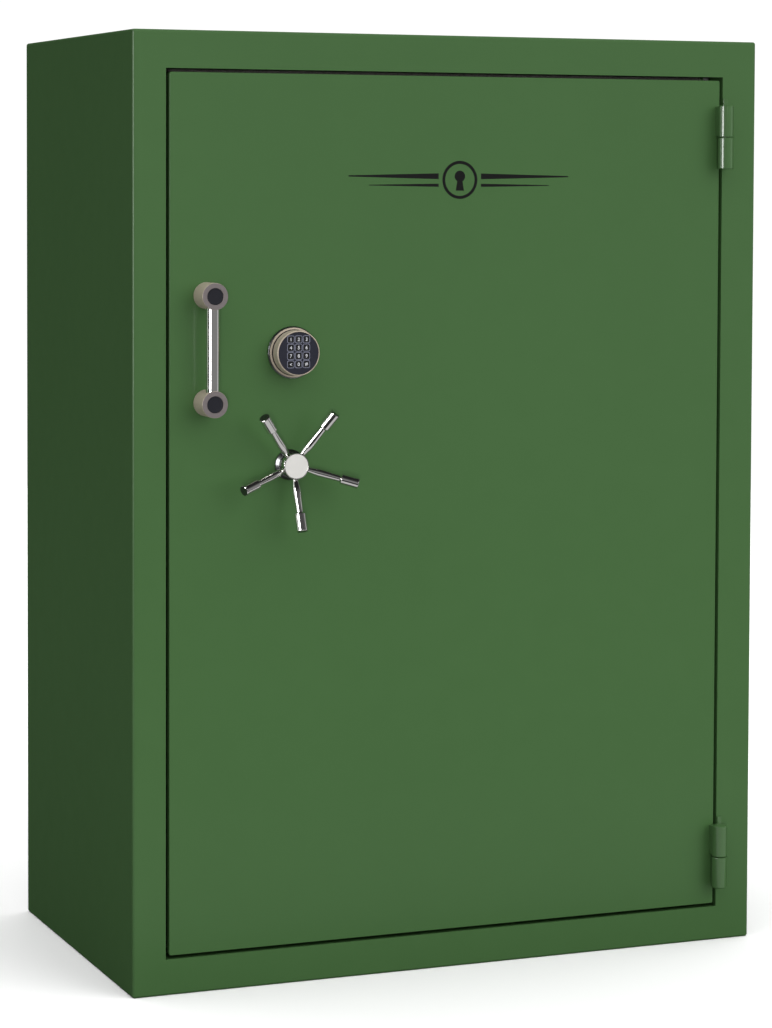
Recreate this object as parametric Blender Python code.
"""A free-standing gun safe: insulated steel body, flush hinged door, spoked bolt handle and keypad lock.

World axes: +X to the right seen from the front, +Y from the front towards the back, +Z up.
The origin is the middle of the base, on the floor. Everything is in metres.
The door is closed and its bolts are drawn back, so that it can swing.
"""

import math
from collections import namedtuple

import bmesh
import bpy
from mathutils import Matrix, Vector

# ---------------------------------------------------------------- driving dimensions
# body
WIDTH = 1.318
DEPTH = 0.742
HEIGHT = 1.829
FRAME_LEFT = 0.0655
FRAME_RIGHT = 0.075
FRAME_TOP = 0.072
FRAME_BOTTOM = 0.069
SHELL_STEEL = 0.0045
EDGE_RADIUS = 0.005
BACK_WALL = 0.063
LINING = 0.006
LINING_SETBACK = 0.002
INNER_CORNER = 0.0025
ANCHOR_RADIUS = 0.007
ANCHOR_INSET_X = 0.16
ANCHOR_INSET_Y = 0.16

# jamb: a front lip, and behind it the channel that the bolts enter
JAMB_STEEL = 0.004
JAMB_LIP = 0.056
CHANNEL_WIDTH = 0.038
CHANNEL_SPARE = 0.010
SEAL_INSET = 0.006
SEAL_WIDTH = 0.020
SEAL_THICKNESS = 0.003

# door
DOOR_GAP = 0.007
DOOR_PLATE = 0.0127
DOOR_CORNER = 0.004
PAN_INSET = 0.009
PAN_STEEL = 0.004
PAN_SPARE = 0.011
BACK_COVER = 0.004
BACK_COVER_LAP = 0.004

# boltwork
BOLT_RADIUS = 0.016
BOLT_CLEARANCE = 0.002
BOLT_HOLE_CLEARANCE = 0.001
BOLT_LENGTH = 0.074
BOLT_REST_INSET = 0.008
BOLT_CHAMFER = 0.002
SIDE_BOLT_COUNT = 4
SIDE_BOLT_MARGIN = 0.22
END_BOLT_INSET = 0.20
FIXED_BOLT_REACH = 0.012
BAR_THICKNESS = 0.012
BAR_WIDTH = 0.026
RACK_THICKNESS = 0.008
RACK_HEIGHT = 0.028
RACK_ROD_WIDTH = 0.018
LAYER_GAP = 0.003
GEAR_MODULE = 0.0025
GEAR_TEETH = 16
PRESSURE_ANGLE = math.radians(25)
ADDENDUM = 0.8 * GEAR_MODULE
DEDENDUM = 1.1 * GEAR_MODULE
BACKLASH = 0.0004
HANDLE_TURN = math.radians(90)

# lock
LOCK_CASE_WIDTH = 0.060
LOCK_CASE_HEIGHT = 0.085
LOCK_CASE_DEPTH = 0.033
LOCK_CASE_SHIFT = 0.054
LOCK_BOLT_WIDTH = 0.025
LOCK_BOLT_LENGTH = 0.034
LOCK_BOLT_THROW = 0.0095
LOCK_GAP = 0.003
LOCK_CLEARANCE = 0.0005

# handle, measured from the door's left edge and from the floor
HANDLE_FROM_EDGE = 0.2405
HANDLE_HEIGHT = 1.004
SPINDLE_RADIUS = 0.0095
SPINDLE_CLEARANCE = 0.001
SPINDLE_SOCKET = 0.010
ESCUTCHEON_RADIUS = 0.0295
ESCUTCHEON_HEIGHT = 0.010
HUB_RADIUS = 0.0235
HUB_HEIGHT = 0.0275
CAP_RADIUS = 0.025
CAP_HEIGHT = 0.003
SPOKE_COUNT = 5
SPOKE_REACH = 0.122
SPOKE_ROOT_DEPTH = 0.0155
SPOKE_TILT = math.radians(19.2)
SPOKE_TURN = math.radians(-88.5)
SPOKE_NECK_RADIUS = 0.0052
SPOKE_BULGE_RADIUS = 0.008
SPOKE_WAIST_RADIUS = 0.0066
SPOKE_GRIP_RADIUS = 0.0107
SPOKE_GRIP_LENGTH = 0.036
SPOKE_SOCKET_DEPTH = 0.010

# pull handle
PULL_FROM_EDGE = 0.0725
PULL_HEIGHT = 1.228
PULL_SPACING = 0.203
POST_RADIUS = 0.0254
POST_LENGTH = 0.0546
PULL_BAR_RADIUS = 0.0127
PULL_BAR_STANDOFF = 0.040
PLUG_RADIUS = 0.0159
PULL_SOCKET_WALL = 0.0015
PLUG_RECESS = 0.004
PLUG_THICKNESS = 0.003

# keypad
KEYPAD_FROM_EDGE = 0.2455
KEYPAD_HEIGHT = 1.219
KEYPAD_BASE_RADIUS = 0.0499
KEYPAD_BASE_HEIGHT = 0.0127
KEYPAD_RADIUS = 0.0432
KEYPAD_REACH = 0.0374
KEYPAD_WALL = 0.0024
FACEPLATE_THICKNESS = 0.0024
FACEPLATE_SET_BACK = 0.001
KEY_SIZE = 0.0113
KEY_CORNER = 0.0025
KEY_PITCH = 0.0158
KEY_RISE = 0.0029
KEY_STANDS_PROUD = 0.0012
KEY_FLANGE = 0.0008
KEY_FLANGE_THICKNESS = 0.0016
KEY_CLEARANCE = 0.0004
CABLE_HOLE_RADIUS = 0.005

# hinges
HINGE_RADIUS = 0.01588
HINGE_STANDOFF = 0.021
HINGE_HEIGHT = 0.127
HINGE_MID_GAP = 0.001
HINGE_BELOW_TOP = 0.193
HINGE_ABOVE_FLOOR = 0.1765
HINGE_PIN_RADIUS = 0.008
HINGE_PIN_CLEARANCE = 0.0004
HINGE_END_WALL = 0.010
HINGE_FOOT_WIDTH = 0.009
HINGE_STRAP = 0.003
HINGE_STRAP_ABOVE = 0.014

# interior
BOARD = 0.020
SHELF_SETBACK = 0.110
TOP_SHELF_DROP = 0.320
DIVIDER_SHIFT = -0.010
SHELF_HEIGHTS = (0.50, 0.95)
RACK_HEIGHT_ABOVE_FLOOR = 0.93
GUN_RACK_DEPTH = 0.125
NOTCH_PITCH = 0.105
NOTCH_RADIUS = 0.023
NOTCH_REACH = 0.065
STOCK_REST_HEIGHT = 0.045
STOCK_REST_DEPTH = 0.280

# meshing
SEAT = 0.0003
ROUND_STEPS = 24
SMALL_ROUND_STEPS = 16
CORNER_STEPS = 2
OVERRUN = 0.002

# ---------------------------------------------------------------- derived places
Rect = namedtuple("Rect", "left right bottom top")


def grown(rect, by):
    """The rectangle with every side moved outwards by that much."""
    return Rect(rect.left - by, rect.right + by, rect.bottom - by, rect.top + by)


def behind(depth):
    """The Y of a plane that far behind the safe's front face."""
    return -DEPTH / 2 + depth


def ahead(reach):
    """The Y of a plane that far in front of the safe's front face."""
    return behind(-reach)


OUTER = Rect(-WIDTH / 2, WIDTH / 2, 0.0, HEIGHT)
OPENING = Rect(OUTER.left + FRAME_LEFT, OUTER.right - FRAME_RIGHT, FRAME_BOTTOM, HEIGHT - FRAME_TOP)
DOOR = grown(OPENING, -DOOR_GAP)
PAN = grown(DOOR, -PAN_INSET)
CAVITY = grown(OPENING, LINING_SETBACK - LINING)
SHELVES = grown(CAVITY, -SEAT)

BOLT_DEPTH = JAMB_LIP + BOLT_CLEARANCE + BOLT_RADIUS
CHANNEL_BACK = JAMB_LIP + 2 * BOLT_RADIUS + CHANNEL_SPARE
LINING_FRONT = CHANNEL_BACK + JAMB_STEEL + SEAT
CAVITY_BACK = DEPTH - BACK_WALL - LINING
PAN_BACK = BOLT_DEPTH + BOLT_RADIUS + PAN_SPARE
PAN_WEB = JAMB_LIP + BOLT_CLEARANCE - SEAT - PAN_STEEL

PINION_RADIUS = GEAR_MODULE * GEAR_TEETH / 2
TOOTH_PITCH = math.pi * GEAR_MODULE
BOLT_THROW = PINION_RADIUS * HANDLE_TURN
SIDE_LAYER = PAN_WEB + PAN_STEEL + LAYER_GAP
END_LAYER = SIDE_LAYER + RACK_THICKNESS + LAYER_GAP

HANDLE = Vector((DOOR.left + HANDLE_FROM_EDGE, behind(0), HANDLE_HEIGHT))
KEYPAD = Vector((DOOR.left + KEYPAD_FROM_EDGE, behind(0), KEYPAD_HEIGHT))
PULL = Vector((DOOR.left + PULL_FROM_EDGE, behind(0), PULL_HEIGHT))
HINGE_AXIS = Vector((OPENING.right - DOOR_GAP / 2, ahead(HINGE_STANDOFF), 0.0))
HINGE_MIDDLES = {"top": HEIGHT - HINGE_BELOW_TOP, "bottom": HINGE_ABOVE_FLOOR}
DIVIDER_X = (CAVITY.left + CAVITY.right) / 2 + DIVIDER_SHIFT

KEYS = (("1", "2", "3"), ("4", "5", "6"), ("7", "8", "9"), ("clear", "0", "enter"))


# ---------------------------------------------------------------- materials
def material(name, colour, roughness, metallic):
    """A plain Principled material, made once for each name."""
    found = bpy.data.materials.get(name) or bpy.data.materials.new(name)
    found.use_nodes = True
    shader = found.node_tree.nodes["Principled BSDF"]
    shader.inputs["Base Color"].default_value = (*colour, 1.0)
    shader.inputs["Roughness"].default_value = roughness
    shader.inputs["Metallic"].default_value = metallic
    return found


GREEN_PAINT = ("green_paint", (0.065, 0.141, 0.051), 0.35, 0.0)
DARK_PAINT = ("dark_paint", (0.03, 0.035, 0.03), 0.5, 0.0)
CHROME = ("chrome", (0.72, 0.70, 0.68), 0.12, 1.0)
DARK_CHROME = ("dark_chrome", (0.12, 0.12, 0.125), 0.2, 1.0)
BRONZE_CHROME = ("bronze_chrome", (0.42, 0.37, 0.31), 0.25, 1.0)
STEEL = ("bare_steel", (0.45, 0.45, 0.46), 0.4, 1.0)
INSULATION = ("insulation", (0.62, 0.60, 0.56), 0.9, 0.0)
CARPET_BOARD = ("carpet_board", (0.20, 0.19, 0.18), 0.95, 0.0)
SEAL_STRIP = ("seal_strip", (0.55, 0.54, 0.52), 0.8, 0.0)
BLACK_PLASTIC = ("black_plastic", (0.02, 0.02, 0.025), 0.35, 0.0)
FACEPLATE_PLASTIC = ("faceplate_plastic", (0.05, 0.055, 0.07), 0.4, 0.0)
LOCK_METAL = ("lock_metal", (0.50, 0.49, 0.47), 0.45, 1.0)


# ---------------------------------------------------------------- modelling helpers
def clear_scene():
    for obj in list(bpy.data.objects):
        bpy.data.objects.remove(obj, do_unlink=True)


def joint_empty(name, place, parent=None):
    """An empty on a joint's axis, which carries the pieces that move with it."""
    empty = bpy.data.objects.new(name, None)
    bpy.context.scene.collection.objects.link(empty)
    empty.empty_display_size = 0.05
    carry(empty, place, parent)
    return empty


def world_place(obj):
    """Where an object's origin is, when only unturned empties are above it."""
    place = Vector(obj.location)
    if obj.parent:
        place += world_place(obj.parent)
    return place


def carry(obj, place, parent):
    obj.parent = parent
    obj.location = Vector(place) - (world_place(parent) if parent else Vector())


def finish_mesh(name, bm, finish, place=(0, 0, 0), parent=None, turn=None, smooth=False):
    """Turns a bmesh into a named object at its place, with its material."""
    bmesh.ops.recalc_face_normals(bm, faces=bm.faces)
    mesh = bpy.data.meshes.new(name)
    bm.to_mesh(mesh)
    bm.free()
    if smooth:
        mesh.shade_smooth()
        mesh.set_sharp_from_angle(angle=math.radians(35))
    mesh.materials.append(material(*finish))
    obj = bpy.data.objects.new(name, mesh)
    bpy.context.scene.collection.objects.link(obj)
    carry(obj, place, parent)
    if turn:
        obj.rotation_euler = turn.to_euler()
    return obj


def rounded_rect(rect, radius, y):
    """The corners of a rectangle in a plane of constant Y, each rounded by a short arc."""
    points = []
    for corner_x, corner_z, start in (
        (rect.right - radius, rect.top - radius, 0.0),
        (rect.left + radius, rect.top - radius, 0.5 * math.pi),
        (rect.left + radius, rect.bottom + radius, math.pi),
        (rect.right - radius, rect.bottom + radius, 1.5 * math.pi),
    ):
        for step in range(CORNER_STEPS + 1):
            angle = start + 0.5 * math.pi * step / CORNER_STEPS
            points.append((corner_x + radius * math.cos(angle), y, corner_z + radius * math.sin(angle)))
    return points


def lofted(name, sections, finish, ring=False, origin=(0, 0, 0), parent=None):
    """A shell through rounded rectangles (rect, corner radius, y) in order.

    A ring joins its last section to its first; anything else is closed by a cap at each end.
    """
    bm = bmesh.new()
    shift = Vector(origin)
    loops = []
    for rect, radius, y in sections:
        loops.append([bm.verts.new(Vector(p) - shift) for p in rounded_rect(rect, radius, y)])
    pairs = list(zip(loops, loops[1:]))
    if ring:
        pairs.append((loops[-1], loops[0]))
    else:
        bm.faces.new(loops[0])
        bm.faces.new(loops[-1])
    for first, second in pairs:
        for i in range(len(first)):
            j = (i + 1) % len(first)
            bm.faces.new((first[i], first[j], second[j], second[i]))
    return finish_mesh(name, bm, finish, origin, parent)


def box(name, low, high, finish, parent=None, origin=None):
    """A box between two corners."""
    low, high = Vector(low), Vector(high)
    middle = (low + high) / 2 if origin is None else Vector(origin)
    bm = bmesh.new()
    bmesh.ops.create_cube(bm, size=1.0)
    bmesh.ops.scale(bm, vec=high - low, verts=bm.verts)
    bmesh.ops.translate(bm, vec=(low + high) / 2 - middle, verts=bm.verts)
    return finish_mesh(name, bm, finish, middle, parent)


def lathe_mesh(profile, steps, closed=False):
    """A bmesh turned about +Z from points (radius, height).

    An open profile starts and ends on the axis; a closed one goes round a hole.
    """
    bm = bmesh.new()
    verts = [bm.verts.new((radius, 0, height)) for radius, height in profile]
    ends = list(zip(verts, verts[1:]))
    if closed:
        ends.append((verts[-1], verts[0]))
    edges = [bm.edges.new(pair) for pair in ends]
    bmesh.ops.spin(
        bm, geom=verts + edges, cent=(0, 0, 0), axis=(0, 0, 1), angle=2 * math.pi, steps=steps, use_merge=True
    )
    bmesh.ops.remove_doubles(bm, verts=bm.verts, dist=1e-6)
    return bm


FORWARD = Matrix.Rotation(math.pi / 2, 3, "X")


def turned(name, profile, finish, place, parent=None, turn=None, steps=ROUND_STEPS, closed=False):
    """A turned piece, with its axis along +Z before it is turned."""
    bm = lathe_mesh(profile, steps, closed)
    return finish_mesh(name, bm, finish, place, parent, turn, smooth=True)


def flat_outline(name, outline, front, thickness, finish, place, parent):
    """A plate cut to an outline of (x, z) points, from the plane behind(front) backwards."""
    bm = bmesh.new()
    near = [bm.verts.new((x - place[0], behind(front) - place[1], z - place[2])) for x, z in outline]
    face = bm.faces.new(near)
    far = bmesh.ops.extrude_face_region(bm, geom=[face])["geom"]
    moved = [item for item in far if isinstance(item, bmesh.types.BMVert)]
    bmesh.ops.translate(bm, vec=(0, thickness, 0), verts=moved)
    return finish_mesh(name, bm, finish, place, parent)


def helper(obj):
    """Marks an object as a tool for a Boolean, and not a piece of the safe."""
    obj.hide_render = True
    obj.display_type = "WIRE"
    return obj


def joined_tools(name, tools):
    """One helper from several separate ones."""
    bm = bmesh.new()
    bpy.context.view_layer.update()
    for tool in tools:
        copy = tool.data.copy()
        copy.transform(tool.matrix_world)
        bm.from_mesh(copy)
        bpy.data.meshes.remove(copy)
        bpy.data.objects.remove(tool, do_unlink=True)
    mesh = bpy.data.meshes.new(name)
    bm.to_mesh(mesh)
    bm.free()
    obj = bpy.data.objects.new(name, mesh)
    bpy.context.scene.collection.objects.link(obj)
    return helper(obj)


def boolean(obj, tool, operation):
    modifier = obj.modifiers.new(tool.name, "BOOLEAN")
    modifier.operation = operation
    modifier.solver = "EXACT"
    modifier.object = helper(tool)


def cylinder(name, start, end, radius, steps=ROUND_STEPS):
    """A plain round bar between two points, for cutting or joining."""
    start, end = Vector(start), Vector(end)
    turn = (end - start).to_track_quat("Z", "Y").to_matrix()
    profile = [(0, 0), (radius, 0), (radius, (end - start).length), (0, (end - start).length)]
    return turned(name, profile, STEEL, start, turn=turn, steps=steps)


def drilled(obj, name, bores):
    """Drills a list of (start, end, radius) bores through a piece."""
    tools = [cylinder(f"{name}_{i}", *bore, steps=ROUND_STEPS) for i, bore in enumerate(bores)]
    boolean(obj, joined_tools(name, tools), "DIFFERENCE")


# ---------------------------------------------------------------- body
def mitred_bar(name, profile, start, end):
    """One bar of the jamb: a profile of (rect, depth) swept from one corner of the rectangles to another."""
    bm = bmesh.new()
    loops = []
    for corner, other in ((start, end), (end, start)):
        loop = []
        for rect, depth in profile:
            here = Vector((getattr(rect, corner[0]), behind(depth), getattr(rect, corner[1])))
            there = Vector((getattr(rect, other[0]), behind(depth), getattr(rect, other[1])))
            loop.append(bm.verts.new(here + (there - here).normalized() * SEAT))
        loops.append(loop)
        bm.faces.new(loop)
    for i in range(len(profile)):
        j = (i + 1) % len(profile)
        bm.faces.new((loops[0][i], loops[0][j], loops[1][j], loops[1][i]))
    return finish_mesh(name, bm, GREEN_PAINT)


def rounding(outer, radius, front):
    """Sections that round the box's front or back edges over, from the side towards the face."""
    sections = []
    for step in range(CORNER_STEPS + 1):
        angle = 0.5 * math.pi * step / CORNER_STEPS
        inset = radius * (1 - math.cos(angle))
        drop = radius * (1 - math.sin(angle))
        y = behind(drop) if front else behind(DEPTH - drop)
        sections.append((grown(outer, -inset), radius, y))
    return sections


def anchor_bores():
    """The four holes in the floor through which the safe is bolted down."""
    bores = []
    for x in (OUTER.left + ANCHOR_INSET_X, OUTER.right - ANCHOR_INSET_X):
        for y in (behind(ANCHOR_INSET_Y), behind(DEPTH - ANCHOR_INSET_Y)):
            bores.append(((x, y, -OVERRUN), (x, y, OPENING.bottom + OVERRUN), ANCHOR_RADIUS))
    return bores


def make_body():
    skin = grown(OUTER, -SHELL_STEEL)
    shell = lofted(
        "outer_shell",
        list(reversed(rounding(OUTER, EDGE_RADIUS, front=False)))
        + rounding(OUTER, EDGE_RADIUS, front=True)
        + [
            (OPENING, INNER_CORNER, behind(0)),
            (OPENING, INNER_CORNER, behind(SHELL_STEEL)),
            (skin, INNER_CORNER, behind(SHELL_STEEL)),
            (skin, INNER_CORNER, behind(DEPTH - SHELL_STEEL)),
        ],
        GREEN_PAINT,
    )
    packed = grown(skin, -SEAT)
    front = SHELL_STEEL + SEAT
    lip = grown(OPENING, JAMB_STEEL)
    channel = grown(OPENING, CHANNEL_WIDTH + JAMB_STEEL)
    lining_out = grown(OPENING, LINING_SETBACK)
    back = DEPTH - BACK_WALL

    jamb = [
        (OPENING, front),
        (OPENING, JAMB_LIP),
        (grown(OPENING, CHANNEL_WIDTH), JAMB_LIP),
        (grown(OPENING, CHANNEL_WIDTH), CHANNEL_BACK),
        (lining_out, CHANNEL_BACK),
        (lining_out, CHANNEL_BACK + JAMB_STEEL),
        (channel, CHANNEL_BACK + JAMB_STEEL),
        (channel, JAMB_LIP - JAMB_STEEL),
        (lip, JAMB_LIP - JAMB_STEEL),
        (lip, front),
    ]
    mitred_bar("jamb_left", jamb, ("left", "bottom"), ("left", "top"))
    mitred_bar("jamb_right", jamb, ("right", "bottom"), ("right", "top"))
    mitred_bar("jamb_top", jamb, ("left", "top"), ("right", "top"))
    mitred_bar("jamb_bottom", jamb, ("left", "bottom"), ("right", "bottom"))

    fill = [
        (packed, INNER_CORNER, DEPTH - front),
        (packed, INNER_CORNER, front),
        (grown(lip, SEAT), SEAT, front),
        (grown(lip, SEAT), SEAT, JAMB_LIP - JAMB_STEEL - SEAT),
        (grown(channel, SEAT), SEAT, JAMB_LIP - JAMB_STEEL - SEAT),
        (grown(channel, SEAT), SEAT, CHANNEL_BACK + JAMB_STEEL + SEAT),
        (grown(lining_out, SEAT), INNER_CORNER, CHANNEL_BACK + JAMB_STEEL + SEAT),
        (grown(lining_out, SEAT), INNER_CORNER, back + SEAT),
    ]
    insulation = lofted("body_insulation", [(r, c, behind(d)) for r, c, d in fill], INSULATION)

    lining_path = [
        (lining_out, back),
        (lining_out, LINING_FRONT),
        (CAVITY, LINING_FRONT),
        (CAVITY, CAVITY_BACK),
    ]
    lining = [(r, INNER_CORNER, behind(d)) for r, d in lining_path]
    lofted("carpet_lining", lining, CARPET_BOARD)

    seal_back = CHANNEL_BACK - SEAT
    near, far = grown(OPENING, SEAL_INSET), grown(OPENING, SEAL_INSET + SEAL_WIDTH)
    seal = [
        (near, seal_back - SEAL_THICKNESS),
        (far, seal_back - SEAL_THICKNESS),
        (far, seal_back),
        (near, seal_back),
    ]
    lofted("fire_seal", [(r, INNER_CORNER, behind(d)) for r, d in seal], SEAL_STRIP, ring=True)

    for piece in (shell, insulation):
        drilled(piece, f"{piece.name}_anchor_drill", anchor_bores())


# ---------------------------------------------------------------- interior
def notched_board(name, left, right, bottom, thickness):
    """The barrel rest: a board on the back wall, with a round-bottomed notch for each barrel."""
    count = int((right - left) / NOTCH_PITCH)
    middle = (left + right) / 2
    front = CAVITY_BACK - GUN_RACK_DEPTH
    outline = [(left, CAVITY_BACK - SEAT), (left, front)]
    for i in range(count):
        x = middle + (i - (count - 1) / 2) * NOTCH_PITCH
        outline.append((x - NOTCH_RADIUS, front))
        for step in range(SMALL_ROUND_STEPS // 2 + 1):
            angle = math.pi + 2 * math.pi * step / SMALL_ROUND_STEPS
            depth = front + NOTCH_REACH - NOTCH_RADIUS - NOTCH_RADIUS * math.sin(angle)
            outline.append((x + NOTCH_RADIUS * math.cos(angle), depth))
        outline.append((x + NOTCH_RADIUS, front))
    outline += [(right, front), (right, CAVITY_BACK - SEAT)]
    bm = bmesh.new()
    face = bm.faces.new([bm.verts.new((x, behind(depth), bottom)) for x, depth in outline])
    top = bmesh.ops.extrude_face_region(bm, geom=[face])["geom"]
    raised = [item for item in top if isinstance(item, bmesh.types.BMVert)]
    bmesh.ops.translate(bm, vec=(0, 0, thickness), verts=raised)
    return finish_mesh(name, bm, CARPET_BOARD)


def make_interior():
    front = behind(LINING_FRONT + SHELF_SETBACK)
    back = behind(CAVITY_BACK - SEAT)
    floor = CAVITY.bottom + SEAT
    top_shelf = CAVITY.top - TOP_SHELF_DROP
    divider_left = DIVIDER_X - BOARD / 2
    divider_right = DIVIDER_X + BOARD / 2
    box("top_shelf", (SHELVES.left, front, top_shelf), (SHELVES.right, back, top_shelf + BOARD), CARPET_BOARD)
    box(
        "center_divider",
        (divider_left, front, floor),
        (divider_right, back, top_shelf - SEAT),
        CARPET_BOARD,
    )
    for name, height in zip(("lower_shelf", "upper_shelf"), SHELF_HEIGHTS):
        box(
            name,
            (divider_right + SEAT, front, height),
            (SHELVES.right, back, height + BOARD),
            CARPET_BOARD,
        )
    bay_right = divider_left - SEAT
    rack_bottom = CAVITY.bottom + RACK_HEIGHT_ABOVE_FLOOR
    notched_board("barrel_rack", SHELVES.left, bay_right, rack_bottom, BOARD)
    rest_left = CAVITY.left + INNER_CORNER
    rest_front = behind(CAVITY_BACK - STOCK_REST_DEPTH)
    outline = (
        (rest_front, floor),
        (rest_front, floor + STOCK_REST_HEIGHT / 2),
        (rest_front + STOCK_REST_HEIGHT, floor + STOCK_REST_HEIGHT),
        (back, floor + STOCK_REST_HEIGHT),
        (back, floor),
    )
    bm = bmesh.new()
    face = bm.faces.new([bm.verts.new((rest_left, y, z)) for y, z in outline])
    side = bmesh.ops.extrude_face_region(bm, geom=[face])["geom"]
    moved = [item for item in side if isinstance(item, bmesh.types.BMVert)]
    bmesh.ops.translate(bm, vec=(bay_right - rest_left, 0, 0), verts=moved)
    finish_mesh("stock_rest", bm, CARPET_BOARD)


# ---------------------------------------------------------------- hinges
def hinge_foot(name, side, bottom, length):
    """The block that joins a knuckle to the door or the frame behind it; side is -1 for the door."""
    near = HINGE_AXIS.x + side * (DOOR_GAP / 2 + OVERRUN / 2)
    far = near + side * HINGE_FOOT_WIDTH
    low = (min(near, far), HINGE_AXIS.y, bottom + OVERRUN)
    high = (max(near, far), ahead(SEAT), bottom + length - OVERRUN)
    return box(name, low, high, GREEN_PAINT)


def make_hinges(door):
    """Two lift-off hinges. The frame's lower knuckle carries the pin, and the door's sits on it."""
    chamfer = BOLT_CHAMFER / 2
    length = (HINGE_HEIGHT - HINGE_MID_GAP) / 2
    pin_top = HINGE_HEIGHT - HINGE_END_WALL - HINGE_MID_GAP
    bore_depth = length - HINGE_END_WALL
    for place, middle in HINGE_MIDDLES.items():
        bottom = middle - HINGE_HEIGHT / 2
        upper = middle + HINGE_MID_GAP / 2
        frame_knuckle = turned(
            f"hinge_{place}_frame_knuckle",
            [
                (0, 0),
                (HINGE_RADIUS - chamfer, 0),
                (HINGE_RADIUS, chamfer),
                (HINGE_RADIUS, length),
                (HINGE_PIN_RADIUS, length),
                (HINGE_PIN_RADIUS, pin_top - chamfer),
                (HINGE_PIN_RADIUS - chamfer, pin_top),
                (0, pin_top),
            ],
            GREEN_PAINT,
            (HINGE_AXIS.x, HINGE_AXIS.y, bottom),
        )
        door_knuckle = turned(
            f"hinge_{place}_door_knuckle",
            [
                (0, length),
                (HINGE_RADIUS - chamfer, length),
                (HINGE_RADIUS, length - chamfer),
                (HINGE_RADIUS, 0),
                (HINGE_PIN_RADIUS + HINGE_PIN_CLEARANCE, 0),
                (HINGE_PIN_RADIUS + HINGE_PIN_CLEARANCE, bore_depth),
                (0, bore_depth),
            ],
            GREEN_PAINT,
            (HINGE_AXIS.x, HINGE_AXIS.y, upper),
            door,
        )
        near = HINGE_AXIS.x + DOOR_GAP / 2 + OVERRUN / 2
        strap = box(
            f"hinge_{place}_strap",
            (near, ahead(HINGE_STRAP), bottom + OVERRUN),
            (near + HINGE_FOOT_WIDTH, ahead(SEAT), middle + HINGE_HEIGHT / 2 + HINGE_STRAP_ABOVE),
            GREEN_PAINT,
        )
        boolean(frame_knuckle, hinge_foot(f"hinge_{place}_frame_foot", 1, bottom, length), "UNION")
        boolean(frame_knuckle, strap, "UNION")
        boolean(door_knuckle, hinge_foot(f"hinge_{place}_door_foot", -1, upper, length), "UNION")
        drill = cylinder(
            f"hinge_{place}_drill",
            (HINGE_AXIS.x, HINGE_AXIS.y, upper - OVERRUN),
            (HINGE_AXIS.x, HINGE_AXIS.y, upper + bore_depth),
            HINGE_PIN_RADIUS + HINGE_PIN_CLEARANCE,
        )
        boolean(door_knuckle, drill, "DIFFERENCE")


# ---------------------------------------------------------------- door
def side_bolt_heights():
    low = OPENING.bottom + SIDE_BOLT_MARGIN
    high = OPENING.top - SIDE_BOLT_MARGIN
    return [low + (high - low) * i / (SIDE_BOLT_COUNT - 1) for i in range(SIDE_BOLT_COUNT)]


def end_bolt_places():
    return (DOOR.left + END_BOLT_INSET, DOOR.right - END_BOLT_INSET)


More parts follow.
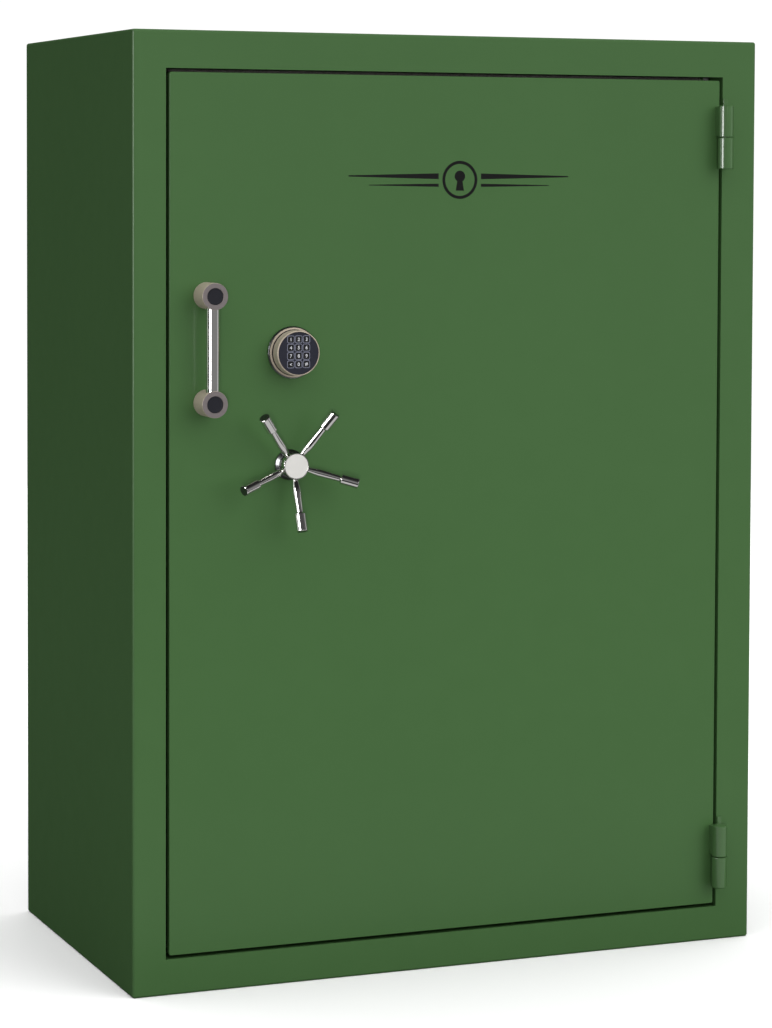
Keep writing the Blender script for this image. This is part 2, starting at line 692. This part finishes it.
def make_door(door):
    plate = lofted(
        "door_plate",
        [
            (grown(DOOR, -OVERRUN / 2), DOOR_CORNER, behind(0)),
            (DOOR, DOOR_CORNER, behind(OVERRUN / 2)),
            (DOOR, DOOR_CORNER, behind(DOOR_PLATE)),
        ],
        GREEN_PAINT,
        origin=HINGE_AXIS,
        parent=door,
    )
    hollow = grown(PAN, -PAN_STEEL)
    slab = grown(hollow, -SEAT)
    plate_back = DOOR_PLATE + SEAT
    corner = DOOR_CORNER / 2
    fill = lofted(
        "door_insulation",
        [(slab, corner, behind(plate_back)), (slab, corner, behind(PAN_WEB - SEAT))],
        INSULATION,
        origin=HINGE_AXIS,
        parent=door,
    )
    pan = lofted(
        "door_pan",
        [
            (hollow, corner, behind(PAN_WEB)),
            (hollow, corner, behind(plate_back)),
            (PAN, corner, behind(plate_back)),
            (PAN, corner, behind(PAN_BACK)),
            (hollow, corner, behind(PAN_BACK)),
            (hollow, corner, behind(PAN_WEB + PAN_STEEL)),
        ],
        DARK_PAINT,
        origin=HINGE_AXIS,
        parent=door,
    )
    cover = grown(PAN, BACK_COVER_LAP)
    lofted(
        "door_back_cover",
        [(cover, DOOR_CORNER, behind(PAN_BACK + SEAT)), (cover, DOOR_CORNER, behind(PAN_BACK + BACK_COVER))],
        CARPET_BOARD,
        origin=HINGE_AXIS,
        parent=door,
    )

    y = behind(BOLT_DEPTH)
    hole = BOLT_RADIUS + BOLT_HOLE_CLEARANCE
    reach = PAN_STEEL + OVERRUN
    bores = [((PAN.left - OVERRUN, y, z), (PAN.left + reach, y, z), hole) for z in side_bolt_heights()]
    for x in end_bolt_places():
        bores.append(((x, y, PAN.top + OVERRUN), (x, y, PAN.top - reach), hole))
        bores.append(((x, y, PAN.bottom - OVERRUN), (x, y, PAN.bottom + reach), hole))
    spindle = SPINDLE_RADIUS + SPINDLE_CLEARANCE
    web_front, web_back = behind(PAN_WEB - OVERRUN), behind(PAN_WEB + PAN_STEEL + OVERRUN)
    bores.append(((HANDLE.x, web_front, HANDLE.z), (HANDLE.x, web_back, HANDLE.z), spindle))
    bores.append(((KEYPAD.x, web_front, KEYPAD.z), (KEYPAD.x, web_back, KEYPAD.z), CABLE_HOLE_RADIUS))
    drilled(pan, "door_pan_drill", bores)
    studs = [
        cylinder(
            f"fixed_bolt_{i}",
            (PAN.right - PAN_STEEL / 2, y, z),
            (OPENING.right + FIXED_BOLT_REACH, y, z),
            BOLT_RADIUS,
        )
        for i, z in enumerate(side_bolt_heights())
    ]
    boolean(pan, joined_tools("fixed_bolts", studs), "UNION")

    for piece, near, far in (
        (plate, -OVERRUN, DOOR_PLATE + OVERRUN),
        (fill, DOOR_PLATE - OVERRUN, PAN_WEB + OVERRUN),
    ):
        drilled(
            piece,
            f"{piece.name}_drill",
            [
                ((HANDLE.x, behind(near), HANDLE.z), (HANDLE.x, behind(far), HANDLE.z), spindle),
                ((KEYPAD.x, behind(near), KEYPAD.z), (KEYPAD.x, behind(far), KEYPAD.z), CABLE_HOLE_RADIUS),
            ],
        )


def make_pull_handle(door):
    offsets = {"top": PULL_SPACING / 2, "bottom": -PULL_SPACING / 2}
    socket_end = PLUG_RADIUS + SEAT + PULL_SOCKET_WALL
    for place, offset in offsets.items():
        centre = PULL + Vector((0, 0, offset))
        recess = POST_LENGTH - PLUG_RECESS
        post = turned(
            f"pull_{place}_post",
            [
                (0, SEAT),
                (POST_RADIUS, SEAT),
                (POST_RADIUS, POST_LENGTH - OVERRUN / 2),
                (POST_RADIUS - OVERRUN / 2, POST_LENGTH),
                (PLUG_RADIUS + SEAT, POST_LENGTH),
                (PLUG_RADIUS + SEAT, recess),
                (0, recess),
            ],
            BRONZE_CHROME,
            centre,
            door,
            FORWARD,
        )
        turned(
            f"pull_{place}_plug",
            [
                (0, recess + SEAT),
                (PLUG_RADIUS, recess + SEAT),
                (PLUG_RADIUS, recess + PLUG_THICKNESS - OVERRUN / 4),
                (PLUG_RADIUS - OVERRUN / 4, recess + PLUG_THICKNESS),
                (0, recess + PLUG_THICKNESS),
            ],
            BLACK_PLASTIC,
            centre,
            door,
            FORWARD,
        )
        inward = -math.copysign(1, offset)
        mouth = centre.z + inward * (POST_RADIUS + OVERRUN)
        end = centre.z + inward * socket_end
        bar_y = ahead(PULL_BAR_STANDOFF)
        drilled(
            post,
            f"pull_{place}_socket",
            [((centre.x, bar_y, mouth), (centre.x, bar_y, end), PULL_BAR_RADIUS + SEAT)],
        )
    half = PULL_SPACING / 2 - socket_end - SEAT
    turned(
        "pull_bar",
        [(0, -half), (PULL_BAR_RADIUS, -half), (PULL_BAR_RADIUS, half), (0, half)],
        CHROME,
        (PULL.x, ahead(PULL_BAR_STANDOFF), PULL.z),
        door,
    )


# ---------------------------------------------------------------- keypad
def key_centre(row, column):
    return KEYPAD + Vector(((column - 1) * KEY_PITCH, 0, KEY_RISE + (1.5 - row) * KEY_PITCH))


def square(centre, size):
    return Rect(centre.x - size / 2, centre.x + size / 2, centre.z - size / 2, centre.z + size / 2)


def make_keypad(door):
    turned(
        "keypad_base",
        [
            (0, SEAT),
            (KEYPAD_BASE_RADIUS, SEAT),
            (KEYPAD_BASE_RADIUS, 0.4 * KEYPAD_BASE_HEIGHT),
            (KEYPAD_BASE_RADIUS - OVERRUN, 0.5 * KEYPAD_BASE_HEIGHT),
            (KEYPAD_BASE_RADIUS - OVERRUN, 0.8 * KEYPAD_BASE_HEIGHT),
            (KEYPAD_RADIUS - OVERRUN, 0.8 * KEYPAD_BASE_HEIGHT),
            (KEYPAD_RADIUS - OVERRUN, KEYPAD_BASE_HEIGHT),
            (0, KEYPAD_BASE_HEIGHT),
        ],
        BRONZE_CHROME,
        KEYPAD,
        door,
        FORWARD,
    )
    inner = KEYPAD_RADIUS - KEYPAD_WALL
    floor_at = KEYPAD_BASE_HEIGHT + SEAT + KEYPAD_WALL
    turned(
        "keypad_housing",
        [
            (0, KEYPAD_BASE_HEIGHT + SEAT),
            (KEYPAD_RADIUS, KEYPAD_BASE_HEIGHT + SEAT),
            (KEYPAD_RADIUS, KEYPAD_REACH - OVERRUN / 2),
            (KEYPAD_RADIUS - OVERRUN / 2, KEYPAD_REACH),
            (inner, KEYPAD_REACH),
            (inner, floor_at),
            (0, floor_at),
        ],
        BRONZE_CHROME,
        KEYPAD,
        door,
        FORWARD,
    )
    face_front = KEYPAD_REACH - FACEPLATE_SET_BACK
    face_back = face_front - FACEPLATE_THICKNESS
    plate = turned(
        "keypad_faceplate",
        [(0, face_back), (inner - SEAT, face_back), (inner - SEAT, face_front), (0, face_front)],
        FACEPLATE_PLASTIC,
        KEYPAD,
        door,
        FORWARD,
    )
    windows = []
    for row, names in enumerate(KEYS):
        for column, name in enumerate(names):
            centre = key_centre(row, column)
            window = lofted(
                f"window_{name}",
                [
                    (square(centre, KEY_SIZE + 2 * KEY_CLEARANCE), KEY_CORNER, ahead(face_back - OVERRUN)),
                    (square(centre, KEY_SIZE + 2 * KEY_CLEARANCE), KEY_CORNER, ahead(face_front + OVERRUN)),
                ],
                FACEPLATE_PLASTIC,
            )
            windows.append(window)
            axis = joint_empty(f"key_{name}_axis", (centre.x, ahead(face_front), centre.z), door)
            flange = square(centre, KEY_SIZE + 2 * KEY_FLANGE + 2 * KEY_CLEARANCE)
            flange_front = face_back - KEY_CLEARANCE
            cap = square(centre, KEY_SIZE)
            crown = square(centre, KEY_SIZE - OVERRUN / 2)
            proud = face_front + KEY_STANDS_PROUD
            lofted(
                f"key_{name}",
                [
                    (flange, KEY_CORNER, ahead(flange_front - KEY_FLANGE_THICKNESS)),
                    (flange, KEY_CORNER, ahead(flange_front)),
                    (cap, KEY_CORNER, ahead(flange_front)),
                    (cap, KEY_CORNER, ahead(proud - OVERRUN / 4)),
                    (crown, KEY_CORNER - OVERRUN / 4, ahead(proud)),
                ],
                BLACK_PLASTIC,
                origin=(centre.x, ahead(face_front), centre.z),
                parent=axis,
            )
    boolean(plate, joined_tools("key_windows", windows), "DIFFERENCE")


# ---------------------------------------------------------------- handle and boltwork
def involute(angle):
    return math.tan(angle) - angle


def pinion_outline():
    """One point ring round the pinion, a tooth pointing along each axis."""
    base = PINION_RADIUS * math.cos(PRESSURE_ANGLE)
    tip = PINION_RADIUS + ADDENDUM
    root = PINION_RADIUS - DEDENDUM
    half_pitch = (TOOTH_PITCH / 2 - BACKLASH) / (2 * PINION_RADIUS)
    flank = []
    for step in range(4):
        radius = base + (tip - base) * step / 3
        half = half_pitch + involute(PRESSURE_ANGLE) - involute(math.acos(base / radius))
        flank.append((radius, half))
    flank.insert(0, (root, flank[0][1]))
    outline = []
    for tooth in range(GEAR_TEETH):
        middle = 2 * math.pi * tooth / GEAR_TEETH
        for radius, half in flank:
            outline.append((radius * math.cos(middle - half), radius * math.sin(middle - half)))
        for radius, half in reversed(flank):
            outline.append((radius * math.cos(middle + half), radius * math.sin(middle + half)))
    return outline


def rack_teeth(first, last):
    """Rack teeth as (along, height) points about the pitch line, a gap at 0, from first to last."""
    slope = math.tan(PRESSURE_ANGLE)
    half = (TOOTH_PITCH / 2 - BACKLASH) / 2
    points = []
    for tooth in range(first, last + 1):
        middle = (tooth + 0.5) * TOOTH_PITCH
        points += [
            (middle - half - DEDENDUM * slope, -DEDENDUM),
            (middle - half + ADDENDUM * slope, ADDENDUM),
            (middle + half - ADDENDUM * slope, ADDENDUM),
            (middle + half + DEDENDUM * slope, -DEDENDUM),
        ]
    return points


TEETH_BEFORE = -2
TEETH_AFTER = math.ceil(BOLT_THROW / TOOTH_PITCH) + 1


def make_side_boltwork(door):
    """The upright bar with its rack arm, which runs over the pinion, and the bolts on the bar."""
    axis = joint_empty("side_bolt_axis", (HANDLE.x, behind(BOLT_DEPTH), HANDLE.z), door)
    tip = OPENING.left + BOLT_REST_INSET
    inner = tip + BOLT_LENGTH
    bar_left = inner + SEAT
    heights = side_bolt_heights()
    bottom, top = heights[0] - BAR_WIDTH, heights[-1] + BAR_WIDTH
    pitch_line = HANDLE.z + PINION_RADIUS
    arm_top = pitch_line + DEDENDUM + RACK_HEIGHT
    arm_end = HANDLE.x + (TEETH_AFTER + 1) * TOOTH_PITCH + DEDENDUM

    lock_left = HANDLE.x - LOCK_CASE_SHIFT - LOCK_BOLT_WIDTH / 2
    lock_right = lock_left + LOCK_BOLT_WIDTH
    slope = LOCK_BOLT_THROW / BOLT_THROW
    ramp_start = lock_left + (LOCK_GAP - LOCK_CLEARANCE) / slope
    notch_depth = LOCK_BOLT_THROW - LOCK_GAP + LOCK_CLEARANCE
    notch_left = lock_left + BOLT_THROW
    notch_right = lock_right + BOLT_THROW + LOCK_CLEARANCE
    outline = [(bar_left, arm_top), (bar_left, pitch_line + DEDENDUM)]
    outline += [(HANDLE.x + x, pitch_line - height) for x, height in rack_teeth(TEETH_BEFORE, TEETH_AFTER)]
    outline += [
        (arm_end, pitch_line + DEDENDUM),
        (arm_end, arm_top),
        (notch_right, arm_top),
        (notch_right, arm_top - notch_depth),
        (notch_left, arm_top - notch_depth),
        (ramp_start, arm_top),
    ]
    place = (HANDLE.x, behind(BOLT_DEPTH), HANDLE.z)
    arm = flat_outline("side_bolt_rack", outline, SIDE_LAYER, RACK_THICKNESS, STEEL, place, axis)
    bar = box(
        "side_bolt_bar",
        (bar_left, behind(SIDE_LAYER), bottom),
        (bar_left + BAR_THICKNESS, behind(SIDE_LAYER + BAR_WIDTH), top),
        STEEL,
    )
    boolean(arm, bar, "UNION")
    for i, z in enumerate(heights):
        turned(
            f"side_bolt_{i + 1}",
            [
                (0, 0),
                (BOLT_RADIUS, 0),
                (BOLT_RADIUS, BOLT_LENGTH - BOLT_CHAMFER),
                (BOLT_RADIUS - BOLT_CHAMFER, BOLT_LENGTH),
                (0, BOLT_LENGTH),
            ],
            CHROME,
            (inner, behind(BOLT_DEPTH), z),
            axis,
            Matrix.Rotation(-math.pi / 2, 3, "Y"),
        )
    return arm_top


def make_end_boltwork(door, name, up):
    """The rack rod beside the pinion, the cross bar at the door's end and its two bolts; up is 1 or -1."""
    axis = joint_empty(f"{name}_axis", (HANDLE.x, behind(BOLT_DEPTH), HANDLE.z), door)
    edge = OPENING.top if up > 0 else OPENING.bottom
    tip = edge - up * BOLT_REST_INSET
    inner = tip - up * BOLT_LENGTH
    pitch_line = HANDLE.x + up * PINION_RADIUS
    near, far = pitch_line + up * DEDENDUM, pitch_line + up * (DEDENDUM + RACK_ROD_WIDTH)
    tail = HANDLE.z - up * ((TEETH_AFTER + 1) * TOOTH_PITCH + DEDENDUM)
    outline = [(near, inner), (far, inner), (far, tail), (near, tail)]
    teeth = [
        (pitch_line - up * height, HANDLE.z - up * along)
        for along, height in rack_teeth(TEETH_BEFORE, TEETH_AFTER)
    ]
    outline += list(reversed(teeth))
    place = (HANDLE.x, behind(BOLT_DEPTH), HANDLE.z)
    rod = flat_outline(name, outline, END_LAYER, RACK_THICKNESS, STEEL, place, axis)
    xs = (*end_bolt_places(), near, far)
    cross_low = min(inner, inner + up * BAR_WIDTH)
    bar = box(
        f"{name}_bar",
        (min(xs) - BOLT_RADIUS, behind(END_LAYER - OVERRUN), cross_low),
        (max(xs) + BOLT_RADIUS, behind(END_LAYER + RACK_THICKNESS + OVERRUN), cross_low + BAR_WIDTH),
        STEEL,
    )
    boolean(rod, bar, "UNION")
    bolts = [
        cylinder(
            f"{name}_bolt_{i}",
            (x, behind(BOLT_DEPTH), inner + up * BAR_WIDTH / 2),
            (x, behind(BOLT_DEPTH), tip),
            BOLT_RADIUS,
        )
        for i, x in enumerate(end_bolt_places())
    ]
    boolean(rod, joined_tools(f"{name}_bolts", bolts), "UNION")


def make_lock(door, arm_top):
    """The lock case over the rack arm, and its bolt, which drops into the arm's notch."""
    middle = HANDLE.x - LOCK_CASE_SHIFT
    case_bottom = arm_top + LOCK_GAP
    front = PAN_WEB + PAN_STEEL + SEAT
    case = box(
        "lock_case",
        (middle - LOCK_CASE_WIDTH / 2, behind(front), case_bottom),
        (middle + LOCK_CASE_WIDTH / 2, behind(front + LOCK_CASE_DEPTH), case_bottom + LOCK_CASE_HEIGHT),
        LOCK_METAL,
        door,
    )
    half = LOCK_BOLT_WIDTH / 2
    low = Vector((middle - half, behind(SIDE_LAYER), case_bottom))
    high = Vector((middle + half, behind(SIDE_LAYER + RACK_THICKNESS), case_bottom + LOCK_BOLT_LENGTH))
    room = Vector((LOCK_CLEARANCE, LOCK_CLEARANCE, OVERRUN))
    slot = box("lock_slot", low - room, high + room, LOCK_METAL)
    boolean(case, slot, "DIFFERENCE")
    axis = joint_empty("lock_bolt_axis", (middle, behind(SIDE_LAYER), case_bottom), door)
    box("lock_bolt", low, high, STEEL, axis, origin=(middle, behind(SIDE_LAYER), case_bottom))


def spoke_profile(start, end):
    """Half the outline of a turned spoke: neck, bulge, waist, then the round grip at its tip."""
    grip = end - SPOKE_GRIP_LENGTH
    bulge = start + 0.45 * (grip - start)
    step = OVERRUN / 2
    return [
        (0, start),
        (SPOKE_NECK_RADIUS, start),
        (SPOKE_NECK_RADIUS, start + SPOKE_SOCKET_DEPTH),
        (0.5 * (SPOKE_NECK_RADIUS + SPOKE_BULGE_RADIUS), 0.5 * (start + SPOKE_SOCKET_DEPTH + bulge)),
        (SPOKE_BULGE_RADIUS, bulge),
        (0.6 * SPOKE_WAIST_RADIUS + 0.4 * SPOKE_BULGE_RADIUS, 0.5 * (bulge + grip)),
        (SPOKE_WAIST_RADIUS, grip - step),
        (SPOKE_GRIP_RADIUS, grip + 2 * step),
        (SPOKE_GRIP_RADIUS, end - step),
        (SPOKE_GRIP_RADIUS - step, end),
        (0, end),
    ]


def make_handle(door):
    bore = SPINDLE_RADIUS + SPINDLE_CLEARANCE
    turned(
        "handle_escutcheon",
        [
            (bore, SEAT),
            (ESCUTCHEON_RADIUS, SEAT),
            (ESCUTCHEON_RADIUS, 0.4 * ESCUTCHEON_HEIGHT),
            (ESCUTCHEON_RADIUS - OVERRUN, 0.6 * ESCUTCHEON_HEIGHT),
            (HUB_RADIUS, ESCUTCHEON_HEIGHT),
            (bore, ESCUTCHEON_HEIGHT),
        ],
        DARK_CHROME,
        HANDLE,
        door,
        FORWARD,
        closed=True,
    )
    axis = joint_empty("handle_axis", HANDLE, door)
    hub_back = ESCUTCHEON_HEIGHT + SEAT
    hub_front = hub_back + HUB_HEIGHT
    hub = turned(
        "handle_hub",
        [
            (0, hub_back),
            (HUB_RADIUS - OVERRUN / 2, hub_back),
            (HUB_RADIUS, hub_back + OVERRUN / 2),
            (HUB_RADIUS, hub_front),
            (0, hub_front),
        ],
        CHROME,
        HANDLE,
        axis,
        FORWARD,
    )
    turned(
        "hub_cap",
        [
            (0, hub_front + SEAT),
            (CAP_RADIUS, hub_front + SEAT),
            (CAP_RADIUS, hub_front + CAP_HEIGHT - OVERRUN / 2),
            (CAP_RADIUS - OVERRUN / 2, hub_front + CAP_HEIGHT),
            (0, hub_front + CAP_HEIGHT),
        ],
        CHROME,
        HANDLE,
        axis,
        FORWARD,
    )
    apex = Vector((HANDLE.x, ahead(hub_front - SPOKE_ROOT_DEPTH), HANDLE.z))
    start = HUB_RADIUS / math.cos(SPOKE_TILT) - SPOKE_SOCKET_DEPTH
    end = SPOKE_REACH / math.cos(SPOKE_TILT)
    sockets = []
    for i in range(SPOKE_COUNT):
        around = SPOKE_TURN + 2 * math.pi * i / SPOKE_COUNT
        flat = math.cos(SPOKE_TILT)
        direction = Vector((math.cos(around) * flat, -math.sin(SPOKE_TILT), math.sin(around) * flat))
        turn = direction.to_track_quat("Z", "Y").to_matrix()
        turned(
            f"spoke_{i + 1}",
            spoke_profile(start, end),
            CHROME,
            apex,
            axis,
            turn,
            steps=SMALL_ROUND_STEPS,
        )
        mouth = apex + direction * (HUB_RADIUS / flat + 4 * OVERRUN)
        sockets.append((apex + direction * (start - SEAT), mouth, SPOKE_NECK_RADIUS + SEAT))
    spindle_end = hub_back + SPINDLE_SOCKET
    sockets.append((HANDLE, HANDLE + Vector((0, -spindle_end, 0)), SPINDLE_RADIUS + SEAT))
    drilled(hub, "handle_hub_sockets", sockets)

    gear_front, gear_back = SIDE_LAYER, END_LAYER + RACK_THICKNESS
    spindle = turned(
        "drive_spindle",
        [
            (0, -(gear_back + LAYER_GAP)),
            (SPINDLE_RADIUS, -(gear_back + LAYER_GAP)),
            (SPINDLE_RADIUS, spindle_end - SEAT),
            (0, spindle_end - SEAT),
        ],
        STEEL,
        HANDLE,
        axis,
        FORWARD,
    )
    outline = [(HANDLE.x + x, HANDLE.z + z) for x, z in pinion_outline()]
    place = (HANDLE.x, behind(gear_front), HANDLE.z)
    pinion = flat_outline("pinion", outline, gear_front, gear_back - gear_front, STEEL, place, None)
    boolean(spindle, pinion, "UNION")


def main():
    clear_scene()
    make_body()
    make_interior()
    door = joint_empty("door_axis", HINGE_AXIS)
    make_hinges(door)
    make_door(door)
    make_pull_handle(door)
    make_keypad(door)
    make_handle(door)
    arm_top = make_side_boltwork(door)
    make_end_boltwork(door, "top_bolt_rack", 1)
    make_end_boltwork(door, "bottom_bolt_rack", -1)
    make_lock(door, arm_top)


main()
